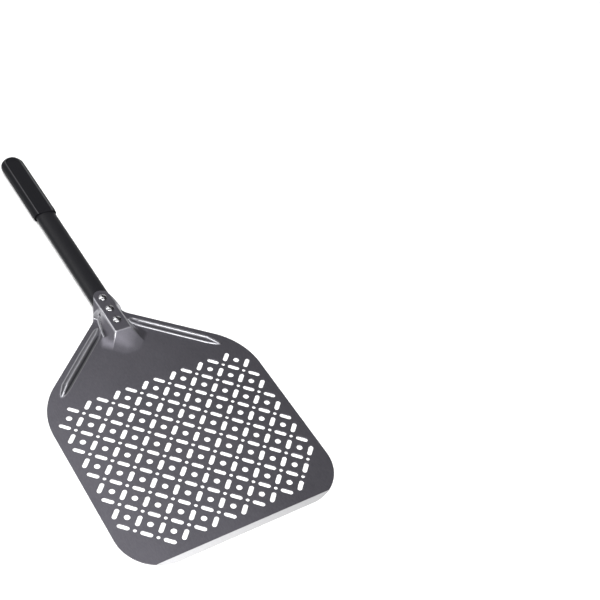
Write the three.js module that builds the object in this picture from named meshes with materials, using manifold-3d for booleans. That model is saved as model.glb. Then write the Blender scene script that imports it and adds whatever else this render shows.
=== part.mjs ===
// A perforated pizza peel: a pressed aluminium blade riveted to an oval tube handle with a moulded grip.
//
// Millimetres, +Z up. While it is being modelled, x runs across the blade, y runs from the blade's
// straight front edge (negative) to the end of the grip, y = 0 is the first full row of flour holes,
// and z = 0 is the flat underside that the peel lies on. The last lines move the whole peel along y,
// so that the origin ends up under the middle of its length.

import * as THREE from 'three';
import { mergeVertices } from 'three/addons/utils/BufferGeometryUtils.js';
import Module from 'manifold-3d';

const wasm = await Module();
wasm.setup();

// ---- Driving dimensions -------------------------------------------------------------------------

const GAP = 0.2;                 // clearance left between pieces that touch on the real peel
const SHEET = 1.5;               // thickness of the blade's aluminium sheet
const MARGIN = 1;                // how far a cutting block runs past what it cuts

// Blade outline
const BLADE_HALF = 152.5;        // half of the blade's 305 mm width
const FRONT_Y = -246;            // straight front edge
const FRONT_RADIUS = 58;         // its rounded corners
const SHOULDER_Y = -16.5;        // where the straight sides end
const SHOULDER_RADIUS = 96;
const SHOULDER_TURN = 48.3;      // degrees from the side to the sloping edge
const SLOPE_END = [32.9, 133.1]; // where the sloping edge starts to turn into the tongue
const SLOPE_BEND = [27.3, 138.4];
const TONGUE_START = [22.8, 144.2];
const TONGUE_RADIUS = 11.6;      // round end of the tongue
const TONGUE_TURN = 27;          // degrees between the tongue's edge and the handle
const TONGUE_END = 178.5;
const ARC_STEP = 7;              // degrees of arc per straight piece of the outline

// Ground edge along the front
const BEVEL_WIDTH = 7.3;
const BEVEL_EDGE = 0.5;          // sheet thickness left at the very edge

// Flour holes, on a diagonal lattice
const HALF_PITCH = BLADE_HALF / 7.375;   // from one row of holes to the next row of the same kind
const SLOT_WIDTH = 6;
const SLOT_LENGTH = 16;
const SMALL_DOT = 4.8;
const BIG_DOT = 8;
const LAST_ROW = 10.5;           // rows run from -0.5 to 10.5 half-pitches in front of y = 0
const ROW_REACH = 6.5;           // the outermost hole of a full row, in half-pitches
const BACK_TAPER = 6;            // rows shorten by a half-pitch each towards the back of the pattern,
const FRONT_TAPER = 15;          // and towards its front: the reaches, in half-pitches, at y = 0
const DOT_SIDES = 6;

// Pressed neck that holds the handle
const STRAP_TOP = 17.6;          // top of its flat strap
const STRAP_HALF = 11.7;
const NECK_FRONT = 78.5;         // foot of its sloping front
const NECK_CREASE = 99;          // where the slope meets the strap
const FRONT_FLARE = 19;          // half-width of the strap's edges at the foot of the slope
const FOOT_WIDE = 26.5;          // half-width of the neck's foot behind the slope
const FOOT_NARROW = 19.5;        // and just before the tongue
const FOOT_TONGUE = 22.6;        // where the tongue's sloping sides would meet the blade
const BOW_FRONT = 0.3;           // how much the neck's sides bow out round the tube: at the front,
const BOW_NARROW = 1;            // at the narrow part,
const BOW_TONGUE = 0.5;          // and along the tongue
const WIDE_Y = 103;
const NARROW_Y = 131;
const TONGUE_Y = 138;
const NECK_END = 190;            // past the tongue's tip, where the plan outline cuts the neck off
const NECK_YS = [NECK_FRONT, 80, 83, 87, 92, NECK_CREASE, WIDE_Y, 109, 116, 124, NARROW_Y, TONGUE_Y, NECK_END];
const FRONT_BLUNT = 2.5;         // exponent of the foot's round front: 2 is an ellipse, more is squarer
const FRONT_EXTRA = 0.6;         // the foot's round front is drawn this much longer, to end in a short edge
const LEAST_RISE = 0.02;         // share of the neck's height that its first station has
const EDGE_SHARE = 0.85;         // the strap's edge lies at most this share of the way out to the foot
const LEAST_HOLLOW = 0.8;        // height from which the neck is hollow underneath

// The two bends in each side of the neck: share of its height, and share of the way out from the
// strap's edge to the foot, for flat sides and for fully bowed ones
const UPPER_BEND = { height: 0.74, flat: 0.26, bowed: 0.55 };
const LOWER_BEND = { height: 0.373, flat: 0.627, bowed: 0.756 };

// Stiffening ribs beside the sloping edges
const RIB_HEIGHT = 6.8;

// Handle
const TUBE_WIDTH = 30;
const TUBE_HEIGHT = 14.2;
const TUBE_WALL = 1.5;
const TUBE_AXIS_Z = 8.7;
const TUBE_ROUNDNESS = 2.4;      // exponent of the tube's oval: 2 is an ellipse, more is squarer
const TUBE_START = 103;
const TUBE_END = 485;

// Grip
const GRIP_START = 358;
const GRIP_END = 497;
const GRIP_HALF = 17.75;
const GRIP_HEIGHT = 17.4;
const RIDGE_X = 11.4;            // the raised ridges beside the grip's top and bottom panels
const RIDGE_HALF = 0.6;
const RIDGE_RISE = 0.5;
const RIDGE_FALL = 0.7;          // from a ridge down to the start of the side
const SHOULDER = [0.925, 0.52];  // bends of the side, as shares of the grip's half-width and half-height
const SIDE = [1, 0.16];
const GRIP_CORNER = 16.5;        // plan radius of the grip's end
const GRIP_NOSE = 4;             // how far the end is rounded off in side view
const NOSE_BEND = [0.3, 0.8];    // its bend, as shares of GRIP_NOSE and of the half-height
const NOSE_FLAT = 0.45;          // half-height of its flat tip, as a share of the grip's

// Blind rivets
const RIVET_YS = [119, 141.5, 164];
const RIVET_HEAD_RADIUS = 6.1;
const RIVET_HEAD_HEIGHT = 2.6;
const SHANK_RADIUS = 2.4;
const BLIND_RADIUS = 3.4;        // the bulge that the rivet forms inside the tube
const MANDREL_RADIUS = 1.3;
const MANDREL_HEAD_RADIUS = 2.2;
const MANDREL_HEAD_HEIGHT = 1.8;
const MANDREL_HEAD_BEVEL = 0.9;
const MANDREL_BREAK = 1.1;       // how far below the crown the pin broke off
const MANDREL_TIP = 0.2;
const BLIND_LENGTH = 4.6;        // from the tube's inner wall to the rivet's blind end
const BLIND_TAPER = 2;           // the bulge's lower slope
const BULGE_SHOULDER = 0.5;      // and its upper one
const HEAD_RIM = 0.5;            // height of the head's edge
const HEAD_BENDS = [[0.83, 0.6], [0.55, 0.92]]; // its dome, as shares of the radius and the height
const BORE_BEVEL = [0.2, 0.4];   // width and depth of the bevel round the bore
const HOLE_SIDES = 12;
const RIVET_SIDES = 16;
const MANDREL_SIDES = 12;

// ---- Small tools --------------------------------------------------------------------------------

const degrees = THREE.MathUtils.degToRad;
const lerp = THREE.MathUtils.lerp;
const clamp = THREE.MathUtils.clamp;

// A three.js geometry as a manifold solid: shared corners merged, collapsed triangles dropped.
function solid(geometry) {
  geometry.deleteAttribute('normal');
  geometry.deleteAttribute('uv');
  const merged = mergeVertices(geometry);
  const corners = merged.index.array;
  const kept = [];
  for (let i = 0; i < corners.length; i += 3) {
    const [a, b, c] = corners.slice(i, i + 3);
    if (a !== b && b !== c && c !== a) kept.push(a, b, c);
  }
  return new wasm.Manifold(new wasm.Mesh({
    numProp: 3,
    vertProperties: new Float32Array(merged.attributes.position.array),
    triVerts: new Uint32Array(kept),
  }));
}

function geometryOf(body) {
  const mesh = body.getMesh();
  const geometry = new THREE.BufferGeometry();
  geometry.setAttribute('position', new THREE.BufferAttribute(new Float32Array(mesh.vertProperties), 3));
  geometry.setIndex(new THREE.BufferAttribute(new Uint32Array(mesh.triVerts), 1));
  geometry.computeVertexNormals();
  return geometry;
}

// An upright prism on a plan outline of [x, y] points, with holes of the same kind.
function prism(outline, bottom, top, holes = []) {
  const shape = new THREE.Shape(outline.map(([x, y]) => new THREE.Vector2(x, y)));
  shape.holes = holes.map((hole) => new THREE.Path(hole.map(([x, y]) => new THREE.Vector2(x, y))));
  const geometry = new THREE.ExtrudeGeometry(shape, { depth: top - bottom, bevelEnabled: false });
  geometry.translate(0, 0, bottom);
  return solid(geometry);
}

// A bar along y with a section of [x, z] points, and holes of the same kind.
function barAlongY(section, start, end, holes = []) {
  // The section is drawn mirrored and turned over, which keeps its faces pointing out.
  const mirrored = (loop) => loop.map(([x, z]) => new THREE.Vector2(-x, z)).reverse();
  const shape = new THREE.Shape(mirrored(section));
  shape.holes = holes.map((hole) => new THREE.Path(mirrored(hole)));
  const geometry = new THREE.ExtrudeGeometry(shape, { depth: end - start, bevelEnabled: false });
  geometry.rotateX(-Math.PI / 2);
  geometry.rotateY(Math.PI);
  geometry.translate(0, start, 0);
  return solid(geometry);
}

// A solid skinned over loops of 3-D points that all have the same number of points.
function loft(loops) {
  const count = loops[0].length;
  const positions = loops.flat(2);
  const corners = [];
  for (let k = 0; k + 1 < loops.length; k += 1) {
    for (let i = 0; i < count; i += 1) {
      const a = k * count + i;
      const b = k * count + (i + 1) % count;
      corners.push(a, b, b + count, a, b + count, a + count);
    }
  }
  // Each end is a fan, which suits the convex and star-shaped loops used here.
  const last = (loops.length - 1) * count;
  for (let i = 1; i + 1 < count; i += 1) {
    corners.push(0, i + 1, i);
    corners.push(last, last + i, last + i + 1);
  }
  const geometry = new THREE.BufferGeometry();
  geometry.setAttribute('position', new THREE.Float32BufferAttribute(positions, 3));
  geometry.setIndex(corners);
  return solid(geometry);
}

function arc(centreX, centreY, radius, from, to) {
  const steps = Math.max(1, Math.ceil(Math.abs(to - from) / ARC_STEP));
  const points = [];
  for (let k = 0; k <= steps; k += 1) {
    const angle = degrees(lerp(from, to, k / steps));
    points.push([centreX + radius * Math.cos(angle), centreY + radius * Math.sin(angle)]);
  }
  return points;
}

// A solid turned about a vertical axis, from [radius, z] points, standing at (0, y).
function turned(profile, segments, y) {
  const points = profile.map(([radius, z]) => new THREE.Vector2(radius, z));
  const geometry = new THREE.LatheGeometry(points, segments);
  geometry.rotateX(Math.PI / 2);
  geometry.translate(0, y, 0);
  return solid(geometry);
}

// ---- Blade --------------------------------------------------------------------------------------

// The right half of the plan outline, from the front edge to the tip of the tongue.
function halfOutline() {
  const front = arc(BLADE_HALF - FRONT_RADIUS, FRONT_Y + FRONT_RADIUS, FRONT_RADIUS, -90, 0);
  const shoulder = arc(BLADE_HALF - SHOULDER_RADIUS, SHOULDER_Y, SHOULDER_RADIUS, 0, SHOULDER_TURN);
  const tongueTip = arc(0, TONGUE_END - TONGUE_RADIUS, TONGUE_RADIUS, TONGUE_TURN, 90);
  return [...front, ...shoulder, SLOPE_END, SLOPE_BEND, TONGUE_START, ...tongueTip];
}

function bladeOutline() {
  const right = halfOutline();
  const left = right.filter(([x]) => x > 1e-6).map(([x, y]) => [-x, y]);
  return [...right, ...left.reverse()];
}

function roundHole(x, y, diameter, sides) {
  const points = [];
  for (let k = 0; k < sides; k += 1) {
    const angle = (k + 0.5) / sides * Math.PI * 2;
    points.push([x + diameter / 2 * Math.cos(angle), y + diameter / 2 * Math.sin(angle)]);
  }
  return points;
}

function slotHole(x, y, direction) {
  const reach = (SLOT_LENGTH - SLOT_WIDTH) / 2;
  const along = degrees(direction);
  const points = [];
  for (const side of [0, 180]) {
    const centreX = x + reach * Math.cos(along + degrees(side));
    const centreY = y + reach * Math.sin(along + degrees(side));
    for (const turn of [-90, -30, 30, 90]) {
      const angle = along + degrees(side + turn);
      points.push([centreX + SLOT_WIDTH / 2 * Math.cos(angle), centreY + SLOT_WIDTH / 2 * Math.sin(angle)]);
    }
  }
  return points;
}

// Whole rows are dots, small and big in turn. Half rows are slots, leaning left and right in turn.
function flourHoles() {
  const holes = [];
  for (let row = -0.5; row <= LAST_ROW; row += 0.5) {
    const isSlotRow = row % 1 !== 0;
    const offset = isSlotRow ? 0.5 : 0;
    const reach = Math.min(ROW_REACH, BACK_TAPER + row, FRONT_TAPER - row);
    const outermost = Math.floor(reach - offset) + offset;
    for (let column = -outermost; column <= outermost; column += 1) {
      const x = column * HALF_PITCH;
      const y = -row * HALF_PITCH;
      const isOdd = Math.round(Math.abs(column + row)) % 2 === 1;
      if (isSlotRow) holes.push(slotHole(x, y, isOdd ? 45 : -45));
      else holes.push(roundHole(x, y, isOdd ? SMALL_DOT : BIG_DOT, DOT_SIDES));
    }
  }
  return holes;
}

// ---- Pressed forms ------------------------------------------------------------------------------

// The underside of a pressed profile: each point moved square to the sheet by its thickness.
function undersideOf(profile, thickness) {
  const normals = [];
  for (let i = 0; i + 1 < profile.length; i += 1) {
    const dx = profile[i + 1][0] - profile[i][0];
    const dz = profile[i + 1][1] - profile[i][1];
    const length = Math.hypot(dx, dz);
    normals.push([dz / length, -dx / length]);
  }
  const floor = [0, -1];
  return profile.map(([x, z], i) => {
    const before = i === 0 ? floor : normals[i - 1];
    const after = i === profile.length - 1 ? floor : normals[i];
    const share = thickness / (1 + before[0] * after[0] + before[1] * after[1]);
    return [x + share * (before[0] + after[0]), z + share * (before[1] + after[1])];
  });
}

// A pressed form from stations of { profile, thickness, place }: the solid to add on top of the flat
// sheet, and the solid to cut out from below. place turns a profile point into a 3-D point.
function pressedForm(stations) {
  const outside = stations.map(({ profile, place }) => {
    const first = profile[0];
    const last = profile[profile.length - 1];
    return [[first[0], SHEET / 2], ...profile, [last[0], SHEET / 2]].map(place);
  });
  const inside = stations.filter(({ isHollow }) => isHollow).map(({ profile, thickness, place }) => {
    const under = undersideOf(profile, thickness);
    const first = under[0];
    const last = under[under.length - 1];
    return [[first[0], -MARGIN], ...under, [last[0], -MARGIN]].map(place);
  });
  return { outside: loft(outside), inside: loft(inside) };
}

// Half-width of the neck's foot: a blunt round front, then a waist, then the tongue's open sides.
function neckFoot(y) {
  if (y < WIDE_Y) {
    const ahead = (WIDE_Y - y) / (WIDE_Y - NECK_FRONT + FRONT_EXTRA);
    return FOOT_WIDE * (1 - ahead ** FRONT_BLUNT) ** (1 / FRONT_BLUNT);
  }
  if (y < NARROW_Y) {
    const turn = Math.cos(Math.PI * (y - WIDE_Y) / (NARROW_Y - WIDE_Y));
    return (FOOT_WIDE + FOOT_NARROW) / 2 + (FOOT_WIDE - FOOT_NARROW) / 2 * turn;
  }
  return lerp(FOOT_NARROW, FOOT_TONGUE, clamp((y - NARROW_Y) / (TONGUE_Y - NARROW_Y), 0, 1));
}

// How far the neck's sides bow out round the tube, from 0 for flat sides.
function neckBow(y) {
  if (y < NARROW_Y) {
    return lerp(BOW_FRONT, BOW_NARROW, clamp((y - NECK_CREASE) / (NARROW_Y - NECK_CREASE), 0, 1));
  }
  return lerp(BOW_NARROW, BOW_TONGUE, clamp((y - NARROW_Y) / (TONGUE_Y - NARROW_Y), 0, 1));
}

function neckStation(y) {
  const rise = clamp((y - NECK_FRONT) / (NECK_CREASE - NECK_FRONT), LEAST_RISE, 1);
  const foot = neckFoot(y);
  const edge = Math.min(lerp(FRONT_FLARE, STRAP_HALF, rise), EDGE_SHARE * foot);
  const bow = neckBow(y);
  const height = (STRAP_TOP - SHEET) * rise;
  const bends = [UPPER_BEND, LOWER_BEND].map((bend) => [
    lerp(edge, foot, lerp(bend.flat, bend.bowed, bow)), SHEET + bend.height * height,
  ]);
  const half = [[edge, SHEET + height], ...bends, [foot, SHEET]];
  const left = half.map(([x, z]) => [-x, z]).reverse();
  const frontSlope = Math.atan((STRAP_TOP - SHEET) / (NECK_CREASE - NECK_FRONT));
  const thickness = rise < 1 ? SHEET / Math.cos(frontSlope) : SHEET;
  return {
    profile: [...left, ...half],
    thickness,
    isHollow: height + SHEET - thickness > LEAST_HOLLOW,
    place: ([x, z]) => [x, y, z],
  };
}

function neck() {
  return pressedForm(NECK_YS.map(neckStation));
}

// A rib is boat-shaped. Its stations run along the sloping edge from the end of that edge, and its
// feet and crest are measured square to it: [along, outer foot, crest, inner foot, share of height].
const RIB_STATIONS = [
  [-4, 10.4, 11, 11.6, 0.1],
  [2, 8, 13, 16.6, 0.85],
  [12, 7.5, 14.6, 18.9, 1],
  [60, 7.5, 15, 19.8, 1],
  [110, 8.5, 15.5, 20.2, 1],
  [123, 12.5, 16.3, 19.6, 0.5],
  [131, 15.7, 16, 16.3, 0.05],
];

function rib(side) {
  const edgeTurn = degrees(SHOULDER_TURN - 90);
  const [startX, startY] = SLOPE_END;
  const stations = RIB_STATIONS.map(([along, outer, crest, inner, share], k) => ({
    profile: [[outer, SHEET], [crest, SHEET + share * RIB_HEIGHT], [inner, SHEET]],
    thickness: SHEET,
    isHollow: k > 0 && k < RIB_STATIONS.length - 1,
    place: ([inward, z]) => {
      const x = startX + along * Math.cos(edgeTurn) + inward * Math.sin(edgeTurn);
      const y = startY + along * Math.sin(edgeTurn) - inward * Math.cos(edgeTurn);
      return [side * x, y, z];
    },
  }));
  return pressedForm(side > 0 ? stations : stations.reverse());
}

// The ground front edge: everything above a plane that falls to BEVEL_EDGE at the very front.
function bevelCut() {
  const rise = (SHEET - BEVEL_EDGE) / BEVEL_WIDTH;
  const section = [
    [FRONT_Y - MARGIN, BEVEL_EDGE - rise * MARGIN],
    [FRONT_Y + BEVEL_WIDTH + MARGIN, SHEET + rise * MARGIN],
    [FRONT_Y - MARGIN, SHEET + rise * MARGIN],
  ];
  const shift = BLADE_HALF + MARGIN;
  return loft([-shift, shift].map((x) => section.map(([y, z]) => [x, y, z])));
}

function rivetHole(y, bottom, top) {
  return prism(roundHole(0, y, 2 * (SHANK_RADIUS + GAP), HOLE_SIDES), bottom, top);
}

function bladeHead() {
  const outline = bladeOutline();
  const forms = [neck(), rib(1), rib(-1)];
  let head = prism(outline, 0, SHEET, flourHoles());
  for (const form of forms) head = head.add(form.outside);
  for (const form of forms) head = head.subtract(form.inside);
  head = head.intersect(prism(outline, -MARGIN, STRAP_TOP + MARGIN));
  head = head.subtract(bevelCut());
  for (const y of RIVET_YS) head = head.subtract(rivetHole(y, SHEET + MARGIN, STRAP_TOP + MARGIN));
  return head;
}

// ---- Handle and grip ----------------------------------------------------------------------------

// The tube's oval, with extra millimetres all round, as [x, z] points.
function oval(extra, sides = 32) {
  const halfWidth = TUBE_WIDTH / 2 + extra;
  const halfHeight = TUBE_HEIGHT / 2 + extra;
  const points = [];
  for (let k = 0; k < sides; k += 1) {
    const angle = (k + 0.5) / sides * Math.PI * 2;
    const cosine = Math.cos(angle);
    const sine = Math.sin(angle);
    const x = halfWidth * Math.sign(cosine) * Math.abs(cosine) ** (2 / TUBE_ROUNDNESS);
    const z = halfHeight * Math.sign(sine) * Math.abs(sine) ** (2 / TUBE_ROUNDNESS);
    points.push([x, TUBE_AXIS_Z + z]);
  }
  return points;
}

function handleTube() {
  let tube = barAlongY(oval(0), TUBE_START, TUBE_END, [oval(-TUBE_WALL)]);
  for (const y of RIVET_YS) tube = tube.subtract(rivetHole(y, TUBE_AXIS_Z, STRAP_TOP));
  return tube;
}

// One quarter of the grip's section, from the middle of the top panel to the side, above the axis.
function gripQuarter() {
  const top = GRIP_HEIGHT / 2;
  return [
    [RIDGE_X - 2 * RIDGE_HALF, top - RIDGE_RISE],
    [RIDGE_X - RIDGE_HALF, top],
    [RIDGE_X + RIDGE_HALF, top],
    [RIDGE_X + 2 * RIDGE_HALF, top - RIDGE_FALL],
    [SHOULDER[0] * GRIP_HALF, SHOULDER[1] * top],
    [SIDE[0] * GRIP_HALF, SIDE[1] * top],
  ];
}

function gripSection() {
  const quarter = gripQuarter();
  const upper = [...quarter, ...quarter.map(([x, z]) => [x, -z]).reverse()];
  const whole = [...upper, ...upper.map(([x, z]) => [-x, z]).reverse()];
  return whole.map(([x, z]) => [x, TUBE_AXIS_Z + z]);
}

function gripSleeve() {
  const body = barAlongY(gripSection(), GRIP_START, GRIP_END);
  // Plan view: square mouth, round end.
  const cornerX = GRIP_HALF - GRIP_CORNER;
  const rightEnd = arc(cornerX, GRIP_END - GRIP_CORNER, GRIP_CORNER, 0, 90);
  const leftEnd = rightEnd.map(([x, y]) => [-x, y]).reverse();
  const start = GRIP_START - MARGIN;
  const wide = GRIP_HALF + MARGIN;
  const plan = [[-wide, start], [wide, start], [wide, GRIP_END - GRIP_CORNER], ...rightEnd,
    ...leftEnd, [-wide, GRIP_END - GRIP_CORNER]];
  // Side view: the end is rounded off above and below.
  const middle = TUBE_AXIS_Z;
  const tall = GRIP_HEIGHT / 2;
  const upper = [
    [GRIP_END, NOSE_FLAT * tall],
    [GRIP_END - NOSE_BEND[0] * GRIP_NOSE, NOSE_BEND[1] * tall],
    [GRIP_END - GRIP_NOSE, tall],
    [start, tall + MARGIN],
  ];
  const lower = upper.map(([y, z]) => [y, -z]).reverse();
  const side = [...lower, ...upper].map(([y, z]) => [y, middle + z]);
  const sideBlock = loft([-wide, wide].map((x) => side.map(([y, z]) => [x, y, z])));
  const socket = barAlongY(oval(GAP), start, TUBE_END + GAP);
  return body.intersect(prism(plan, -MARGIN, GRIP_HEIGHT + MARGIN)).intersect(sideBlock).subtract(socket);
}

// ---- Rivets -------------------------------------------------------------------------------------

const rivetSeat = STRAP_TOP + GAP;
const rivetCrown = rivetSeat + RIVET_HEAD_HEIGHT;
const innerWall = TUBE_AXIS_Z + TUBE_HEIGHT / 2 - TUBE_WALL - GAP;
const blindEnd = innerWall - BLIND_LENGTH;

function rivetBody(y) {
  const bore = MANDREL_RADIUS + GAP;
  const dome = HEAD_BENDS.map(([out, up]) => [out * RIVET_HEAD_RADIUS, rivetSeat + up * RIVET_HEAD_HEIGHT]);
  return turned([
    [bore, blindEnd],
    [SHANK_RADIUS, blindEnd],
    [BLIND_RADIUS, blindEnd + BLIND_TAPER],
    [BLIND_RADIUS, innerWall - BULGE_SHOULDER],
    [SHANK_RADIUS, innerWall],
    [SHANK_RADIUS, rivetSeat],
    [RIVET_HEAD_RADIUS, rivetSeat],
    [RIVET_HEAD_RADIUS, rivetSeat + HEAD_RIM],
    ...dome,
    [bore + BORE_BEVEL[0], rivetCrown],
    [bore, rivetCrown - BORE_BEVEL[1]],
    [bore, blindEnd],
  ], RIVET_SIDES, y);
}

function rivetMandrel(y) {
  const headTop = blindEnd - GAP;
  const headBottom = headTop - MANDREL_HEAD_HEIGHT;
  const broken = rivetCrown - MANDREL_BREAK;
  return turned([
    [0, headBottom],
    [MANDREL_HEAD_RADIUS - MANDREL_HEAD_BEVEL, headBottom],
    [MANDREL_HEAD_RADIUS, headTop - MANDREL_HEAD_BEVEL],
    [MANDREL_HEAD_RADIUS, headTop],
    [MANDREL_RADIUS, headTop],
    [MANDREL_RADIUS, broken],
    [0, broken + MANDREL_TIP],
  ], MANDREL_SIDES, y);
}

// ---- Assembly -----------------------------------------------------------------------------------

const anodised = new THREE.MeshStandardMaterial({ color: 0x5b5960, roughness: 0.45, metalness: 0.8 });
const blackTube = new THREE.MeshStandardMaterial({ color: 0x1b1b1d, roughness: 0.4, metalness: 0.3 });
const blackPlastic = new THREE.MeshStandardMaterial({ color: 0x161617, roughness: 0.55, metalness: 0 });
const rivetMetal = new THREE.MeshStandardMaterial({ color: 0xc9cacc, roughness: 0.2, metalness: 1 });
const mandrelSteel = new THREE.MeshStandardMaterial({ color: 0x4a4b4e, roughness: 0.5, metalness: 1 });

const peel = new THREE.Group();

function place(name, body, material) {
  const mesh = new THREE.Mesh(geometryOf(body), material);
  mesh.name = name;
  peel.add(mesh);
}

place('blade_head', bladeHead(), anodised);
place('handle_tube', handleTube(), blackTube);
place('grip_sleeve', gripSleeve(), blackPlastic);
RIVET_YS.forEach((y, k) => {
  place(`rivet_${k + 1}`, rivetBody(y), rivetMetal);
  place(`rivet_mandrel_${k + 1}`, rivetMandrel(y), mandrelSteel);
});

peel.position.y = -(FRONT_Y + GRIP_END) / 2;

export default peel;
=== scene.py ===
"""The looks of a perforated pizza peel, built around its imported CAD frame.

Shapes are drawn in millimetres, as the CAD part is: x across the blade, y from the front edge towards
the grip with y = 0 on the first full row of flour holes, and z = 0 on the blade's underside.
to_frame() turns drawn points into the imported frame's metres.
"""

import math

import bpy
import numpy as np
from mathutils import Matrix, Vector
from mathutils.geometry import delaunay_2d_cdt


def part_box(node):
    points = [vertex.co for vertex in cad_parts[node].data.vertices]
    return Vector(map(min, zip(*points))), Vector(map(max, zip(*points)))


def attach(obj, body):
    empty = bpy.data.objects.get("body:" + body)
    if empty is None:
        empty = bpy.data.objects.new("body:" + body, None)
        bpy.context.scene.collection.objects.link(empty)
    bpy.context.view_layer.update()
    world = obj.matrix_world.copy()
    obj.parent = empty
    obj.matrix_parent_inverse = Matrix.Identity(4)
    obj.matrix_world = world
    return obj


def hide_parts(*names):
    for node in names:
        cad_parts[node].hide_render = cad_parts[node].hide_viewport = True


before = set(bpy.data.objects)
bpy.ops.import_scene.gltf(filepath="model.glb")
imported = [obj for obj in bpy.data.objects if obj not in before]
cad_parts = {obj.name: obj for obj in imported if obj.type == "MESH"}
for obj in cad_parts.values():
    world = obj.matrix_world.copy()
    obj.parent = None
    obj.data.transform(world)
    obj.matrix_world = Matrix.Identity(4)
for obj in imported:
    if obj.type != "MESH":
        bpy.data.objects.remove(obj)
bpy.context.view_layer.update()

# ---- Driving dimensions, in millimetres ---------------------------------------------------------

MM = 0.001
CLEARANCE = 0.2  # left between pieces that touch on the real peel

# The blade's plan
FRONT_Y = -246.0  # its straight front edge
FRONT_RADIUS = 58.0
SHOULDER_Y = -16.5  # where the straight sides end
SHOULDER_RADIUS = 96.0
SHOULDER_TURN = 48.3  # degrees from the side to the sloping edge
SLOPE_END = (32.9, 133.1)  # where the sloping edge starts to turn into the tongue
SLOPE_BEND_REACH = 5.0  # how far the turn's ends pull
SLOPE_BEND_EASE = 3.0  # degrees that the turn has left over when it meets the tongue
SLOPE_BEND_COUNT = 16
TONGUE_START = (22.8, 144.2)
TONGUE_RADIUS = 11.6
TONGUE_TURN = 27.0  # degrees between the tongue's edge and the handle
EDGE_STEP = 6.0  # between points on the front edge and the straight sides
CORNER_STEP = 2.0
SLOPE_STEP = 1.6
TONGUE_STEP = 1.0
TIP_STEP = 0.8

# Its sheet
SHEET = 1.5
BEVEL_WIDTH = 7.3
BEVEL_EDGE = 0.5  # sheet thickness left at the very front
EDGE_ROUND = 0.3  # rounding of the punched edges
EDGE_ROUND_SHARE = 0.4  # at most this share of the thickness, where the sheet is thin

# Its flour holes, with rows and columns counted in half-pitches of their lattice
HOLES_PER_HALF = 7.375  # half-pitches from the middle to the blade's side
SLOT_WIDTH = 6.0
SLOT_LENGTH = 16.0
SMALL_DOT = 4.8
BIG_DOT = 8.0
DOT_SIDES = 20
FIRST_ROW = -0.5
LAST_ROW = 10.5
ROW_REACH = 6.5  # the outermost hole of a full row
BACK_TAPER = 6  # rows shorten towards the back of the pattern,
FRONT_TAPER = 15  # and towards its front: the reaches, at row 0

# Its neck: a flat strap, walls down to a foot on the blade, and a sloping front
STRAP_HALF = 11.7
NECK_FRONT = 78.5  # the front of the foot
NECK_CREASE = 99.5  # where the front slope meets the strap
FRONT_FLARE = 24.7  # half-width of the front slope at the foot
FOOT_WIDE = 24.6  # half-width of the foot behind its round front,
FOOT_NARROW = 16.4  # at its waist,
FOOT_TONGUE = 24.0  # and along the tongue
FOOT_BLUNT = 2.3  # exponent of the round front: 2 is an ellipse, more is squarer
FOOT_TAPER = 1.5  # exponent of the foot's run to the waist and on to the tongue
WIDE_Y = 95.0
NARROW_Y = 142.0
TONGUE_Y = 148.0
WALL_BOW = 0.5  # how hollow the walls are behind the front: 0 is straight
EDGE_SHARE = 0.96  # a wall's top lies at most this share of the way out to its foot

# Its ribs and creases
RIB_HEIGHT = 6.8
CREST_ROUND = 1.4  # exponent of a rib's section: 1 is a sharp crest, more is rounder
PRESS_ROUNDING = 0.65  # how softly the pressed creases turn

# The grid that holds the pressed heights
GRID = 0.5  # its pitch
GRID_HALF = 165.0
GRID_START = -15.0
GRID_END = 200.0
GRID_RIM = 8.0  # past the tongue's end, from where the grid stays empty
BLUR_CUT = 3  # a blur reaches out to this many times its width
NEAR_HEIGHT = 0.02  # a place counts as pressed above this height,
NEAR_REACH = 1.5  # and so does what is about this close to one,
NEAR_LEAST = 0.01  # down to this much of the blur

# Patches of mesh points inside the blade: start, stop and pitch
NECK_PATCH_X = (-36, 36.1, 0.9)
NECK_PATCH_Y = (72, 178, 0.9)
NECK_PATCH_END = 9.0  # how far along a rib the neck's patch runs
RIB_PATCH_ALONG = (10, 136, 2.0)
RIB_PATCH_INWARD = (4.5, 23, 0.6)
FLAT_PATCH_X = (-144, 145, 12.0)
FLAT_PATCH_Y = (FRONT_Y + 14, 160, 12.0)
FINE_GAPS = (0.5, 3)  # least distance of a pressed point from an edge, and from a hole's centre
FLAT_GAPS = (5, 12)  # and of a point on the flat
BEVEL_PATCH_X = (20.0, 19.0, 4.0)  # from the left side, from the right side, and pitch
BEVEL_LINE = 0.15  # a row of points this close on each side keeps the bevel's line crisp

# Tube
TUBE_WALL = 1.5
TUBE_ROUNDNESS = 2.4  # exponent of the tube's oval: 2 is an ellipse, more is squarer
TUBE_LIP = 0.4

# Grip
RIDGE_X = 11.4  # from the middle of the grip to the ridge beside a panel
PANEL_DEPTH = 0.55  # how far the panels lie below the ridges
GRIP_CORNER = 16.5  # plan radius of the grip's end
GRIP_SIDE = [(0, 0), (0.26, 0.26), (1.3, 0.52), (3, 0.74)]  # inset, and share of the half-height
GRIP_RIDGE = [(-1.3, 0.7), (-0.5, 0.12), (0, 0), (0.5, 0.12)]  # from the ridge's line, and below its top
GRIP_PANEL = (2, 4, 7)  # from the ridge's line
PANEL_FOOT = (1, 0.1)  # from the ridge's line, and above the panel
PANEL_END = 0.2  # from the centre of the end's radius
RIDGE_WIDTH = 0.7  # of the painted highlight line along a ridge
GROOVE_DEPTH = 1.8
GROOVE_SECTION = [0.4, 1.4, 4]  # from the ridge's line: its edge, its bottom and its far edge
GROOVE_REACH = 14.0  # from the grip's end
GROOVE_RUN = 5.0  # over which it deepens
END_BLUNT = 0.4  # how much steeper the grip's end is than its sides
MOUTH_LIP = 0.3
MOUTH_RUN = 1.5  # over which the lip turns in
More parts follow.
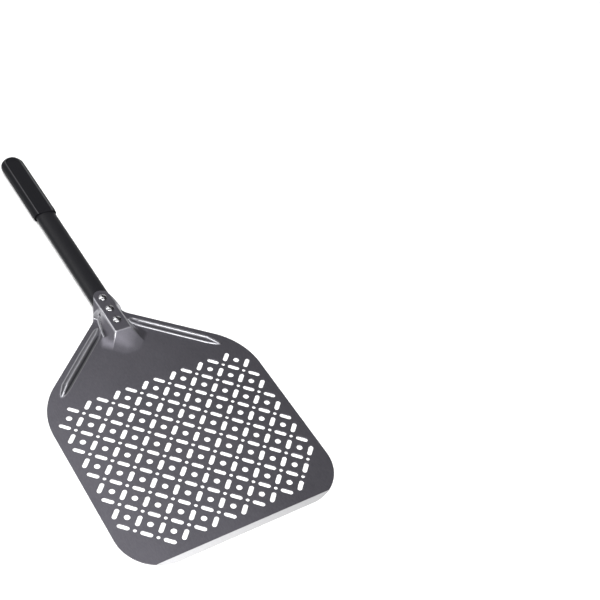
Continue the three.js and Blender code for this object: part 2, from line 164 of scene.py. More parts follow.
SOCKET_FLARE = 1.03  # how much wider the socket is at its mouth,
SOCKET_RUN = 0.4  # over this length

# Rivets and their mandrels
SHANK_RADIUS = 2.4
SHANK_HOLE_SIDES = 16
BLIND_RADIUS = 3.4
BLIND_TAPER = 2.0  # height over which the blind end widens
BLIND_SHOULDER = 0.5
FLANGE_EDGE = 0.8  # height of the rivet head's rim
FLANGE_ROUND = 0.2
BORE_DOME = 0.35  # from the bore out to where the dome starts
BORE_LIP = [(0.1, 0.08), (0, 0.4)]  # from the bore out, and below the crown
DOME_COUNT = 10
MANDREL_RADIUS = 1.3
MANDREL_HEAD = [(0.35, 0), (0.7, 0.1), (1, 0.9), (1, 1.8)]  # share of the head's radius, and height
MANDREL_NECK = 1.85  # height at which the pin leaves its head
MANDREL_BREAK = [(0, 0.45), (0.15, 0.2), (0.95, 0)]  # the broken end: in from its side, and below its top
LATHE_SIDES = 48
MANDREL_SIDES = 32


def drawn_box(node):
    """Lowest and highest corner of a CAD node, as drawn."""
    low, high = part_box(node)
    shift = np.array([0, FRAME_SHIFT_Y, 0])
    return np.array(low) / MM - shift, np.array(high) / MM - shift


FRAME_SHIFT_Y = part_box("blade_head")[0].y / MM - FRONT_Y
blade_low, blade_high = drawn_box("blade_head")
tube_low, tube_high = drawn_box("handle_tube")
grip_low, grip_high = drawn_box("grip_sleeve")
BLADE_HALF = blade_high[0]
STRAP_TOP = blade_high[2]
TONGUE_END = blade_high[1]
HALF_PITCH = BLADE_HALF / HOLES_PER_HALF
AXIS_Z = (tube_low[2] + tube_high[2]) / 2


def to_frame(points):
    """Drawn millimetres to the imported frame's metres."""
    return (np.asarray(points, float) + (0, FRAME_SHIFT_Y, 0)) * MM


# ---- Mesh tools ---------------------------------------------------------------------------------


def piece(name, points, faces, material, replaced, normals=None, sharp=None):
    """A mesh object made of drawn points, riding on the peel's one body in place of a CAD node."""
    mesh = bpy.data.meshes.new(name)
    mesh.from_pydata(to_frame(points).tolist(), [], faces)
    mesh.polygons.foreach_set("use_smooth", [True] * len(mesh.polygons))
    if sharp is not None:
        mesh.set_sharp_from_angle(angle=math.radians(sharp))
    if normals is not None:
        mesh.normals_split_custom_set_from_vertices(normals.tolist())
    mesh.materials.append(material)
    made = bpy.data.objects.new(name, mesh)
    bpy.context.scene.collection.objects.link(made)
    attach(made, "root")
    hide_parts(replaced)
    return made


def skin(rings, close_ends=False, close_round=False):
    """Faces over rings of equal length: along them all, and back to the first ring if asked."""
    count = len(rings[0])
    total = len(rings)
    faces = []
    for k in range(total if close_round else total - 1):
        a, b = k * count, (k + 1) % total * count
        for i in range(count):
            j = (i + 1) % count
            faces.append((a + i, a + j, b + j, b + i))
    if close_ends:
        last = (total - 1) * count
        faces.append(tuple(reversed(range(count))))
        faces.append(tuple(range(last, last + count)))
    return np.concatenate(rings), faces


def arc(centre, radius, start, end, step):
    """Points on an arc, degrees to degrees, about step millimetres apart."""
    count = max(2, math.ceil(radius * math.radians(abs(end - start)) / step) + 1)
    turn = np.radians(np.linspace(start, end, count))
    return np.column_stack((centre[0] + radius * np.cos(turn), centre[1] + radius * np.sin(turn)))


def line(start, end, step):
    count = max(2, math.ceil(math.dist(start, end) / step) + 1)
    return np.linspace(start, end, count)


def bend(start, heading, end, arriving, reach, count):
    """A smooth bend between two points, leaving and arriving along headings in degrees."""
    out = np.array([math.cos(math.radians(heading)), math.sin(math.radians(heading))])
    come = np.array([math.cos(math.radians(arriving)), math.sin(math.radians(arriving))])
    start, end = np.array(start), np.array(end)
    a, b = start + out * reach, end - come * reach
    t = np.linspace(0, 1, count)[:, None]
    return (1 - t) ** 3 * start + 3 * (1 - t) ** 2 * t * a + 3 * (1 - t) * t**2 * b + t**3 * end


def joined(*parts):
    """One line of points from several, without the repeated ones where they meet."""
    points = np.concatenate(parts)
    kept = np.ones(len(points), bool)
    kept[1:] = np.linalg.norm(np.diff(points, axis=0), axis=1) > 1e-6
    return points[kept]


def plan_normals(loop):
    """Unit directions square to a closed plan loop, to the right of its travel."""
    along = np.roll(loop, -1, axis=0) - np.roll(loop, 1, axis=0)
    along /= np.linalg.norm(along, axis=1)[:, None]
    return np.column_stack((along[:, 1], -along[:, 0]))


# ---- Blade: plan --------------------------------------------------------------------------------


def blade_outline():
    """The blade's plan outline, anticlockwise."""
    front_centre = (BLADE_HALF - FRONT_RADIUS, FRONT_Y + FRONT_RADIUS)
    front = arc(front_centre, FRONT_RADIUS, -90, 0, CORNER_STEP)
    shoulder_centre = (BLADE_HALF - SHOULDER_RADIUS, SHOULDER_Y)
    shoulder = arc(shoulder_centre, SHOULDER_RADIUS, 0, SHOULDER_TURN, CORNER_STEP)
    tip = arc((0, TONGUE_END - TONGUE_RADIUS), TONGUE_RADIUS, TONGUE_TURN, 90, TIP_STEP)
    leaving, arriving = 90 + SHOULDER_TURN, 90 + TONGUE_TURN - SLOPE_BEND_EASE
    right = joined(
        line((0, FRONT_Y), front[0], EDGE_STEP),
        front,
        line(front[-1], shoulder[0], EDGE_STEP),
        shoulder,
        line(shoulder[-1], SLOPE_END, SLOPE_STEP),
        bend(SLOPE_END, leaving, TONGUE_START, arriving, SLOPE_BEND_REACH, SLOPE_BEND_COUNT),
        line(TONGUE_START, tip[0], TONGUE_STEP),
        tip,
    )
    left = right[right[:, 0] > 1e-6] * (-1, 1)
    return np.concatenate((right, left[::-1]))


def round_hole(x, y, diameter, count):
    """A round hole, clockwise."""
    turn = np.linspace(0, -2 * math.pi, count, endpoint=False)
    return np.column_stack((x + diameter / 2 * np.cos(turn), y + diameter / 2 * np.sin(turn)))


def slot_hole(x, y, direction):
    """A slot with round ends, clockwise."""
    reach = (SLOT_LENGTH - SLOT_WIDTH) / 2
    ends = []
    for side in (0, 180):
        along = math.radians(direction + side)
        centre = (x + reach * math.cos(along), y + reach * math.sin(along))
        start = direction + side + 90
        ends.append(arc(centre, SLOT_WIDTH / 2, start, start - 180, 1))
    return np.concatenate((ends[1], ends[0]))


def flour_holes():
    """Whole rows are dots, small and big in turn. Half rows are slots, leaning left and right in turn."""
    holes = []
    for row in np.arange(FIRST_ROW, LAST_ROW + 0.1, 0.5):
        is_slot_row = row % 1 != 0
        offset = 0.5 if is_slot_row else 0
        reach = min(ROW_REACH, BACK_TAPER + row, FRONT_TAPER - row)
        outermost = math.floor(reach - offset) + offset
        for column in np.arange(-outermost, outermost + 0.1):
            x, y = column * HALF_PITCH, -row * HALF_PITCH
            is_odd = round(abs(column + row)) % 2 == 1
            if is_slot_row:
                holes.append(slot_hole(x, y, 45 if is_odd else -45))
            else:
                holes.append(round_hole(x, y, SMALL_DOT if is_odd else BIG_DOT, DOT_SIDES))
    return holes


# ---- Blade: pressed heights ---------------------------------------------------------------------


def mix(a, b, share):
    """From a at share 0 to b at share 1."""
    return a + (b - a) * share


def front_foot(x):
    """The y of the neck's blunt round front foot, across its width."""
    across = np.clip(np.abs(x) / FOOT_WIDE, 0, 1)
    return WIDE_Y - (WIDE_Y - NECK_FRONT) * (1 - across**FOOT_BLUNT) ** (1 / FOOT_BLUNT)


def neck_foot(y):
    """Half-width of the neck's foot: the round front, a narrowing waist, then the tongue's open sides."""
    ahead = np.clip((WIDE_Y - y) / (WIDE_Y - NECK_FRONT), 0, 1)
    to_waist = np.clip((y - WIDE_Y) / (NARROW_Y - WIDE_Y), 0, 1) ** FOOT_TAPER
    to_tongue = np.clip((y - NARROW_Y) / (TONGUE_Y - NARROW_Y), 0, 1) ** FOOT_TAPER
    front = FOOT_WIDE * (1 - ahead**FOOT_BLUNT) ** (1 / FOOT_BLUNT)
    waist = mix(FOOT_WIDE, FOOT_NARROW, to_waist)
    tongue = mix(FOOT_NARROW, FOOT_TONGUE, to_tongue)
    return np.where(y < WIDE_Y, front, np.where(y < NARROW_Y, waist, tongue))


def neck_walls(x, y):
    """Share of its full height that the neck has across, from 1 on the strap to 0 at the foot."""
    rise = np.clip((y - NECK_FRONT) / (NECK_CREASE - NECK_FRONT), 0, 1)
    foot = np.maximum(neck_foot(y), 1)
    edge = np.minimum(mix(FRONT_FLARE, STRAP_HALF, rise), EDGE_SHARE * foot)
    out = np.clip((np.abs(x) - edge) / (foot - edge), 0, 1)
    bow = WALL_BOW * np.clip((y - NECK_CREASE) / (NARROW_Y - NECK_CREASE), 0, 1)
    return 1 - (1 - bow) * out - bow * out**2


def neck_height(x, y):
    """The neck above the blade: its walls, and a front slope ruled from the round foot to the crease."""
    foot_y = front_foot(x)
    slope = np.clip((y - foot_y) / (NECK_CREASE - foot_y), 0, 1)
    return (STRAP_TOP - SHEET) * slope * neck_walls(x, y)


# Stations along a rib: [along, outer foot, crest, inner foot, share of the full height]
RIB_STATIONS = np.array([
    [-4, 10.4, 11, 11.6, 0],
    [2, 8, 13, 16.6, 0.85],
    [12, 7.5, 14.6, 18.9, 1],
    [60, 7.5, 15, 19.8, 1],
    [110, 8.5, 15.5, 20.2, 1],
    [123, 12.5, 16.3, 19.6, 0.5],
    [131, 15.7, 16, 16.3, 0],
])


def rib_place(x, y):
    """How far along the sloping edge a point lies from the edge's end, and how far in from it."""
    turn = math.radians(SHOULDER_TURN - 90)
    dx, dy = np.abs(x) - SLOPE_END[0], y - SLOPE_END[1]
    return dx * math.cos(turn) + dy * math.sin(turn), dx * math.sin(turn) - dy * math.cos(turn)


def rib_height(x, y):
    """The ribs above the blade."""
    along, inward = rib_place(x, y)
    outer, crest, inner, share = (
        np.interp(along, RIB_STATIONS[:, 0], RIB_STATIONS[:, k]) for k in (1, 2, 3, 4)
    )
    rise = np.minimum((inward - outer) / (crest - outer), (inner - inward) / (inner - crest))
    return share * RIB_HEIGHT * (1 - (1 - np.clip(rise, 0, 1)) ** CREST_ROUND)


def blurred(grid, reach):
    """The grid with a Gaussian blur, reach in millimetres."""
    span = math.ceil(BLUR_CUT * reach / GRID)
    steps = np.arange(-span, span + 1)
    weights = np.exp(-0.5 * (steps * GRID / reach) ** 2)
    weights /= weights.sum()
    for axis in (0, 1):
        grid = sum(w * np.roll(grid, s, axis=axis) for w, s in zip(weights, steps))
    return grid


class Pressing:
    """The pressed heights on a grid, with their slopes and how sharply they bend."""

    def __init__(self):
        self.xs = np.arange(-GRID_HALF, GRID_HALF + GRID / 2, GRID)
        self.ys = np.arange(GRID_START, GRID_END + GRID / 2, GRID)
        x, y = np.meshgrid(self.xs, self.ys)
        sharp = np.maximum(neck_height(x, y), rib_height(x, y))
        # The grid stays empty round its rim, because the blur runs on from one side to the other.
        sharp[y > TONGUE_END + GRID_RIM] = 0
        self.heights = blurred(sharp, PRESS_ROUNDING)
        self.slopes_y, self.slopes_x = np.gradient(self.heights, GRID)
        bend_y, bend_x = np.gradient(self.slopes_y, GRID)[0], np.gradient(self.slopes_x, GRID)[1]
        self.bends = np.abs(bend_x + bend_y)
        self.near = blurred((self.heights > NEAR_HEIGHT).astype(float), NEAR_REACH)

    def sample(self, grid, points):
        """Values of a grid at plan points, 0 off the grid."""
        column = (points[:, 0] - self.xs[0]) / GRID
        row = (points[:, 1] - self.ys[0]) / GRID
        inside = (column >= 0) & (row >= 0) & (column < len(self.xs) - 1) & (row < len(self.ys) - 1)
        column, row = np.where(inside, column, 0), np.where(inside, row, 0)
        i, j = column.astype(int), row.astype(int)
        u, v = column - i, row - j
        low = grid[j, i] * (1 - u) + grid[j, i + 1] * u
        high = grid[j + 1, i] * (1 - u) + grid[j + 1, i + 1] * u
        return np.where(inside, low * (1 - v) + high * v, 0)


def rib_points():
    """Plan points over the right rib."""
    turn = math.radians(SHOULDER_TURN - 90)
    along, inward = np.meshgrid(np.arange(*RIB_PATCH_ALONG), np.arange(*RIB_PATCH_INWARD))
    x = SLOPE_END[0] + along * math.cos(turn) + inward * math.sin(turn)
    y = SLOPE_END[1] + along * math.sin(turn) - inward * math.cos(turn)
    return np.column_stack((x.ravel(), y.ravel()))


def interior_points(pressing, loops):
    """Plan points inside the blade: close together on the pressed forms, sparse on the flat."""
    x, y = np.meshgrid(np.arange(*NECK_PATCH_X), np.arange(*NECK_PATCH_Y))
    neck = np.column_stack((x.ravel(), y.ravel()))
    neck = neck[rib_place(neck[:, 0], neck[:, 1])[0] < NECK_PATCH_END]
    rib = rib_points()
    fine = np.concatenate((neck, rib, rib * (-1, 1)))
    fine = fine[pressing.sample(pressing.near, fine) > NEAR_LEAST]
    x, y = np.meshgrid(np.arange(*FLAT_PATCH_X), np.arange(*FLAT_PATCH_Y))
    flat = np.column_stack((x.ravel(), y.ravel()))
    flat = flat[pressing.sample(pressing.near, flat) < NEAR_LEAST]
    edges = np.concatenate(loops)
    centres = np.array([loop.mean(axis=0) for loop in loops[1:]])
    kept = []
    for points, (from_edge, from_hole) in ((fine, FINE_GAPS), (flat, FLAT_GAPS)):
        edge_gap = np.array([np.hypot(*(edges - p).T).min() for p in points])
        hole_gap = np.array([np.hypot(*(centres - p).T).min() for p in points])
        kept.append(points[(edge_gap > from_edge) & (hole_gap > from_hole)])
    from_left, from_right, pitch = BEVEL_PATCH_X
    bevel_x = np.arange(-BLADE_HALF + from_left, BLADE_HALF - from_right, pitch)
    for side in (-BEVEL_LINE, BEVEL_LINE):
        kept.append(np.column_stack((bevel_x, np.full(len(bevel_x), FRONT_Y + BEVEL_WIDTH + side))))
    return np.concatenate(kept)


def blade_levels(pressing, points):
    """Heights of the top and bottom face, and their unit normals, at plan points."""
    press = pressing.sample(pressing.heights, points)
    slope_x = pressing.sample(pressing.slopes_x, points)
    slope_y = pressing.sample(pressing.slopes_y, points)
    steep = np.sqrt(1 + slope_x**2 + slope_y**2)
    bottom = np.maximum(press + SHEET - SHEET * steep, 0)
    fall = (SHEET - BEVEL_EDGE) / BEVEL_WIDTH
    ahead = np.maximum(BEVEL_WIDTH - (points[:, 1] - FRONT_Y), 0)
    top = press + SHEET - fall * ahead
    top_slope_y = slope_y + np.where(ahead > 0, fall, 0)
    up = np.column_stack((-slope_x, -top_slope_y, np.ones(len(points))))
    down = np.column_stack((slope_x, slope_y, -np.ones(len(points))))
    down[bottom <= 0] = (0, 0, -1)
    return top, bottom, *(n / np.linalg.norm(n, axis=1)[:, None] for n in (up, down))


def plan_triangles(loops, corners):
    """Triangles over the blade's plan: points, triangles, the loops' edges, and where each corner went."""
    edges, start = [], 0
    for loop in loops:
        edges += [(start + i, start + (i + 1) % len(loop)) for i in range(len(loop))]
        start += len(loop)
    made = delaunay_2d_cdt([Vector(p) for p in corners], edges, [], 1, 1e-5)
    plan = np.array([tuple(p) for p in made[0]])
    where = {source: k for k, sources in enumerate(made[3]) for source in sources}
    hole_of = np.full(len(plan), -1)
    for source, hole in enumerate(np.repeat(np.arange(len(loops)), [len(loop) for loop in loops])):
        hole_of[where[source]] = hole
    # A triangle with all its corners on one hole fills that hole, and is left out.
    triangles = [tuple(f) for f in made[2] if len({hole_of[i] for i in f}) > 1 or hole_of[f[0]] < 1]
    return plan, triangles, edges, where


def blade_mesh():
    """Points, faces, normals and bends of the whole pressed, punched and ground sheet."""
    hole_width = 2 * (SHANK_RADIUS + CLEARANCE)
    rivet_holes = [round_hole(0, y, hole_width, SHANK_HOLE_SIDES) for y in RIVET_YS]
    loops = [blade_outline(), *flour_holes(), *rivet_holes]
    outward = [plan_normals(loop) for loop in loops]
    inset = [loop - normal * EDGE_ROUND for loop, normal in zip(loops, outward)]
    pressing = Pressing()
    corners = np.concatenate(inset + [interior_points(pressing, loops)])
    plan, triangles, edges, where = plan_triangles(loops, corners)
    top, bottom, up, down = blade_levels(pressing, plan)
    rim = np.concatenate(loops)
    edge_top, edge_bottom, _, _ = blade_levels(pressing, rim)
    rounding = np.minimum(EDGE_ROUND, EDGE_ROUND_SHARE * (edge_top - edge_bottom))
    rim_normals = np.column_stack((np.concatenate(outward), np.zeros(len(rim))))
    points = np.concatenate((
        np.column_stack((plan, top)),
        np.column_stack((plan, bottom)),
        np.column_stack((rim, edge_top - rounding)),
        np.column_stack((rim, edge_bottom + rounding)),
    ))
    normals = np.concatenate((up, down, rim_normals, rim_normals))
    count = len(plan)
    faces = triangles + [tuple(count + i for i in reversed(f)) for f in triangles]
    for a, b in edges:
        top_a, top_b = where[a], where[b]
        upper_a, upper_b = 2 * count + a, 2 * count + b
        lower_a, lower_b = upper_a + len(rim), upper_b + len(rim)
        faces.append((top_b, top_a, upper_a, upper_b))
        faces.append((upper_b, upper_a, lower_a, lower_b))
        faces.append((lower_b, lower_a, count + top_a, count + top_b))
    bends = np.zeros(len(points))
    bends[: 2 * count] = np.tile(pressing.sample(pressing.bends, plan), 2)
    return points, faces, normals, bends


# ---- Handle and grip ----------------------------------------------------------------------------


def squared_circle(turn):
    """x and z on the tube's rounded oval of half-width and half-height 1, at turns in radians."""
    power = 2 / TUBE_ROUNDNESS
    x = np.sign(np.cos(turn)) * np.abs(np.cos(turn)) ** power
    z = np.sign(np.sin(turn)) * np.abs(np.sin(turn)) ** power
    return x, z


def oval(half_width, half_height, y, count=96):
    """The tube's oval at a station along y."""
    x, z = squared_circle((np.arange(count) + 0.5) / count * 2 * math.pi)
    return np.column_stack((half_width * x, np.full(count, y), AXIS_Z + half_height * z))


def tube_mesh():
    """The oval tube with its wall, open at both ends, each lip a little rounded."""
    half_width = tube_high[0]
    half_height = (tube_high[2] - tube_low[2]) / 2
    start, end = tube_low[1], tube_high[1]
    lip, wall = TUBE_LIP, TUBE_WALL
    profile = [
        (0, start + lip), (0, end - lip), (lip, end), (wall - lip, end),
        (wall, end - lip), (wall, start + lip), (wall - lip, start), (lip, start),
    ]
    rings = [oval(half_width - inset, half_height - inset, y) for inset, y in profile]
    points, faces = skin(rings, close_round=True)
    return points, [tuple(reversed(f)) for f in faces]


def smooth_line(points, count):
    """A Catmull-Rom line through the points, count points to each stretch."""
    points = np.array(points, float)
    padded = np.concatenate((2 * points[:1] - points[1:2], points, 2 * points[-1:] - points[-2:-1]))
    t = np.linspace(0, 1, count, endpoint=False)[:, None]
    parts = []
    for a, b, c, d in zip(padded, padded[1:], padded[2:], padded[3:]):
        parts.append(0.5 * (2 * b + (c - a) * t + (2 * a - 5 * b + 4 * c - d) * t**2
                            + (3 * b - a - 3 * c + d) * t**3))
    return np.concatenate([*parts, points[-1:]])


def grip_profile():
    """The grip's outside from its widest line in to the middle of a panel: inset and height, closed at 0."""
    top = (grip_high[2] - grip_low[2]) / 2
    ridge = grip_high[0] - RIDGE_X
    panel = top - PANEL_DEPTH
    side = [(inset, share * top) for inset, share in GRIP_SIDE]
    crest = [(ridge + away, top - fall) for away, fall in GRIP_RIDGE]
    foot = (ridge + PANEL_FOOT[0], panel + PANEL_FOOT[1])
    flat = [(ridge + away, panel) for away in GRIP_PANEL]
    return smooth_line([*side, *crest, foot, *flat, (GRIP_CORNER - PANEL_END, panel)], 4)


def grip_route(inset):
    """Half of a line round the grip's plan, inset from its edge: from the mouth to the middle of the end."""
    start, end = grip_low[1], grip_high[1]
    centre = (grip_high[0] - GRIP_CORNER, end - GRIP_CORNER)
    side = np.linspace(start, centre[1], 26)[:-1]
    turn = np.linspace(0, math.pi / 2, 33)
    radius = GRIP_CORNER - inset
    x = np.concatenate((np.full(len(side), centre[0] + radius), centre[0] + radius * np.cos(turn), [0]))
    y = np.concatenate((side, centre[1] + radius * np.sin(turn), [centre[1] + radius]))
    return np.column_stack((x, y))


def grip_lines():
    """Lines round the grip, from its lower panel out and up to its upper one, and the shares of painted
    highlight along the ridges.
    """
    start, end = grip_low[1], grip_high[1]
    top = (grip_high[2] - grip_low[2]) / 2
    ridge = grip_high[0] - RIDGE_X
    upper = grip_profile()
    profile = np.concatenate((upper[:0:-1] * (1, -1), upper))
    lines, ridge_highlight_shares = [], []
    for inset, height in profile:
        half = grip_route(inset)
        route = np.concatenate((half, half[-2::-1] * (-1, 1)))
        into_end = np.clip((route[:, 1] - end + GRIP_CORNER) / (GRIP_CORNER - inset), 0, 1)
        route[:, 1] += END_BLUNT * min(inset, ridge) * into_end
        near_end = np.clip((route[:, 1] - (end - GROOVE_REACH)) / GROOVE_RUN, 0, 1)
        share = np.interp(inset - ridge, GROOVE_SECTION, [0, 1, 0])
        groove = GROOVE_DEPTH * near_end * share
        lip = 1 - MOUTH_LIP / top * np.clip(1 - (route[:, 1] - start) / MOUTH_RUN, 0, 1)
        z = AXIS_Z + np.sign(height) * (abs(height) - groove) * lip
        lines.append(np.column_stack((route[:, 0] * lip, route[:, 1], z)))
        # The share of painted highlight along a ridge's line, on the grip's upper and lower faces.
        ridge_highlight_share = math.exp(-(((inset - ridge) / RIDGE_WIDTH) ** 2)) * (abs(height) > top / 2)
        ridge_highlight_shares.append(np.full(len(route), ridge_highlight_share))
    return lines, ridge_highlight_shares


def grip_cover(total, count):
    """Faces over the grip's lines, with the strips along the middle of its two panels."""
    faces = []
    for k in range(total - 1):
        for i in range(count - 1):
            a, b = k * count + i, (k + 1) * count + i
            faces.append((a, a + 1, b + 1, b))
    # A strip joins the two sides of the innermost line, and ends in a triangle.
    last = (total - 1) * count
    middle = count // 2
    for i in range(middle - 1):
        j = count - 1 - i
        faces.append((last + i, last + i + 1, last + j - 1, last + j))
        faces.append((j, j - 1, i + 1, i))
    faces.append((last + middle - 1, last + middle, last + middle + 1))
    faces.append((middle + 1, middle, middle - 1))
    return faces


def grip_socket(section):
    """Rings of the socket that the tube fills, each point in line with one on the mouth's section."""
    half_height = (grip_high[2] - grip_low[2]) / 2
    x, z = squared_circle(np.arctan2((section[:, 2] - AXIS_Z) * grip_high[0] / half_height, section[:, 0]))
    wide = (tube_high[0] + CLEARANCE) * x
    tall = ((tube_high[2] - tube_low[2]) / 2 + CLEARANCE) * z
    start, end = grip_low[1], tube_high[1] + CLEARANCE
    return [
        np.column_stack((wide * spread, np.full(len(wide), y), AXIS_Z + tall * spread))
        for spread, y in ((SOCKET_FLARE, start), (1, start + SOCKET_RUN), (1, end))
    ]


def grip_mesh():
    """The moulded sleeve: ridges that run round its end as a rim, a groove inside the rim, and its socket."""
    lines, ridge_highlight_shares = grip_lines()
    count, total = len(lines[0]), len(lines)
    faces = grip_cover(total, count)
    points = np.concatenate(lines)
    mouth = [k * count for k in range(total)] + [k * count + count - 1 for k in reversed(range(total))]
    socket = grip_socket(points[mouth])
    around = len(mouth)
    loops = [mouth] + [[len(points) + k * around + i for i in range(around)] for k in range(len(socket))]
    for near, far in zip(loops, loops[1:]):
        for i in range(around):
            j = (i + 1) % around
            faces.append((near[i], near[j], far[j], far[i]))
    faces.append(tuple(loops[-1]))
    # No painted highlight inside the socket.
    ridge_highlight_shares.append(np.zeros(len(socket) * around))
    return np.concatenate((points, *socket)), faces, np.concatenate(ridge_highlight_shares)


# ---- Rivets -------------------------------------------------------------------------------------


def lathe(profile, y, count=LATHE_SIDES):
    """Rings of a turned shape from (radius, z) points, standing at (0, y)."""
    turn = np.arange(count) / count * 2 * math.pi
    x, along = np.cos(turn), np.sin(turn)
    return [np.column_stack((r * x, y + r * along, np.full(count, z))) for r, z in profile]


def rivet_mesh(node):
    """A blind rivet: domed head with a hole for the mandrel, shank and formed blind end."""
    low, high = drawn_box(node)
    y, radius, crown, blind = (low[1] + high[1]) / 2, high[0], high[2], low[2]
    seat = STRAP_TOP + CLEARANCE
    wall = tube_high[2] - TUBE_WALL - CLEARANCE
    bore = MANDREL_RADIUS + CLEARANCE
    flange = radius - FLANGE_ROUND
    rise = crown - seat - FLANGE_EDGE
    sphere = (flange**2 + rise**2) / (2 * rise)
    centre = crown - sphere
    profile = [
        (bore, blind),
        (SHANK_RADIUS, blind),
        (BLIND_RADIUS, blind + BLIND_TAPER),
        (BLIND_RADIUS, wall - BLIND_SHOULDER),
        (SHANK_RADIUS, wall),
        (SHANK_RADIUS, seat),
        (flange, seat),
        (radius, seat + FLANGE_ROUND),
    ]
    for r in np.linspace(flange, bore + BORE_DOME, DOME_COUNT):
        profile.append((r, centre + math.sqrt(sphere**2 - r**2)))
    profile += [(bore + away, crown - fall) for away, fall in BORE_LIP]
    return skin(lathe(profile, y), close_round=True)


def mandrel_mesh(node):
    """The broken pin inside a rivet, with its head under the blind end."""
    low, high = drawn_box(node)
    y, radius, top, bottom = (low[1] + high[1]) / 2, high[0], high[2], low[2]
    profile = [(share * radius, bottom + rise) for share, rise in MANDREL_HEAD]
    profile.append((MANDREL_RADIUS, bottom + MANDREL_NECK))
    profile += [(MANDREL_RADIUS - inset, top - fall) for inset, fall in MANDREL_BREAK]
    return skin(lathe(profile, y, MANDREL_SIDES), close_ends=True)


# ---- Materials ----------------------------------------------------------------------------------


class Nodes:
    """A short way to write a material's node tree."""

    def __init__(self, name):
        self.material = bpy.data.materials.new(name)
        self.material.use_nodes = True
        self.tree = self.material.node_tree
        self.shader = self.tree.nodes["Principled BSDF"]

    def add(self, kind, inputs=None, **settings):
        """A new node with its settings and its inputs."""
        node = self.tree.nodes.new(kind)
        for key, value in settings.items():
            setattr(node, key, value)
        for key, value in (inputs or {}).items():
            self.put(node.inputs[key], value)
        return node

    def put(self, socket, value):
        """A link into a socket, or the socket's own value."""
        if isinstance(value, bpy.types.NodeSocket):
            self.tree.links.new(value, socket)
        else:
            socket.default_value = value

    def set(self, **values):
        """Inputs of the shader, with _ for each space in a name."""
        for key, value in values.items():
            self.put(self.shader.inputs[key.replace("_", " ")], value)

    def place(self, scale=(1, 1, 1)):
        """Object coordinates, stretched."""
        at = self.add("ShaderNodeTexCoord").outputs["Object"]
        return self.add("ShaderNodeMapping", {"Vector": at, "Scale": scale}).outputs["Vector"]

    def noise(self, scale, detail=3.0, stretch=(1, 1, 1), roughness=0.5):
        inputs = {"Vector": self.place(stretch), "Scale": scale, "Detail": detail, "Roughness": roughness}
        return self.add("ShaderNodeTexNoise", inputs).outputs["Fac"]

    def ramp(self, value, low, high, from_low=0.0, from_high=1.0):
        """A value carried from one range to another, and held at its ends."""
        inputs = {"Value": value, "From Min": from_low, "From Max": from_high, "To Min": low, "To Max": high}
        return self.add("ShaderNodeMapRange", inputs).outputs["Result"]

    def blend(self, share, a, b):
        node = self.add("ShaderNodeMix", {"Factor": share}, data_type="RGBA")
        self.put(node.inputs["A"], a)
        self.put(node.inputs["B"], b)
        return node.outputs["Result"]

    def bump(self, height, distance, strength):
        inputs = {"Height": height, "Distance": distance, "Strength": strength}
        return self.add("ShaderNodeBump", inputs).outputs["Normal"]


def anodised_sheet():
    """Hard anodised aluminium: rolled grain, a painted highlight along the pressed bends, and bare metal
    where the front is ground.
    """
    n = Nodes("anodised_sheet")
    grain = n.noise(900, 2, stretch=(1, 0.25, 1))
    cloud = n.noise(9, 4)
    dark = n.blend(n.ramp(cloud, 0, 1, 0.3, 0.7), (0.080, 0.077, 0.090, 1), (0.099, 0.095, 0.111, 1))
    coated = n.blend(n.ramp(grain, 0, 0.35, 0.3, 0.7), dark, (0.132, 0.129, 0.143, 1))
    bend_value = n.add("ShaderNodeAttribute", attribute_name="bend").outputs["Fac"]
    # Painted highlight: the coat is painted a light grey where the pressed sheet bends sharply, along crests
    # and feet alike.
    bend_highlight = n.ramp(bend_value, 0, 0.8, 0.12, 0.6)
    coat_with_bend_highlight = n.blend(bend_highlight, coated, (0.36, 0.36, 0.38, 1))
    place = n.add("ShaderNodeSeparateXYZ", {"Vector": n.place()})
    line_y = float(to_frame([(0, FRONT_Y + BEVEL_WIDTH, 0)])[0][1])
    bare = n.ramp(place.outputs["Y"], 1, 0, line_y - 0.0003, line_y)
    scratches = n.noise(2500, 2, stretch=(1, 0.04, 1))
    ground = n.blend(scratches, (0.44, 0.44, 0.45, 1), (0.58, 0.58, 0.59, 1))
    n.set(Base_Color=n.blend(bare, coat_with_bend_highlight, ground), Metallic=n.ramp(bare, 0.9, 0.8))
    n.set(Roughness=n.ramp(bare, n.ramp(grain, 0.36, 0.44), n.ramp(scratches, 0.38, 0.5)))
    n.set(Normal=n.bump(grain, 0.00003, 0.35))
    return n.material


def black_tube():
    """Satin black paint with a fine orange peel."""
    n = Nodes("black_tube")
    peel = n.noise(700, 2)
    n.set(Base_Color=n.blend(peel, (0.006, 0.006, 0.007, 1), (0.012, 0.012, 0.014, 1)))
    n.set(Roughness=n.ramp(peel, 0.30, 0.40), Normal=n.bump(peel, 0.00004, 0.4))
    n.set(Specular_IOR_Level=0.16, Specular_Tint=(0.6, 0.6, 0.6, 1))
    return n.material


def black_grip():
    """Fine-grained black moulding, smoother along its ridges, with a painted highlight along them."""
    n = Nodes("black_grip")
    grain = n.noise(1100, 3)
    ridge_highlight_and_smoothing = n.add("ShaderNodeAttribute", attribute_name="ridge").outputs["Fac"]
    body = n.blend(grain, (0.004, 0.004, 0.005, 1), (0.008, 0.008, 0.010, 1))
    # Painted highlight: the colour is painted lighter along the ridges' lines, where the surface is also made
    # smoother.
    n.set(Base_Color=n.blend(ridge_highlight_and_smoothing, body, (0.060, 0.060, 0.063, 1)))
    n.set(Roughness=n.ramp(ridge_highlight_and_smoothing, n.ramp(grain, 0.42, 0.58), 0.3), Normal=n.bump(grain, 0.00006, 0.5))
    n.set(Specular_IOR_Level=0.09, Specular_Tint=(0.8, 0.8, 0.8, 1))
    return n.material


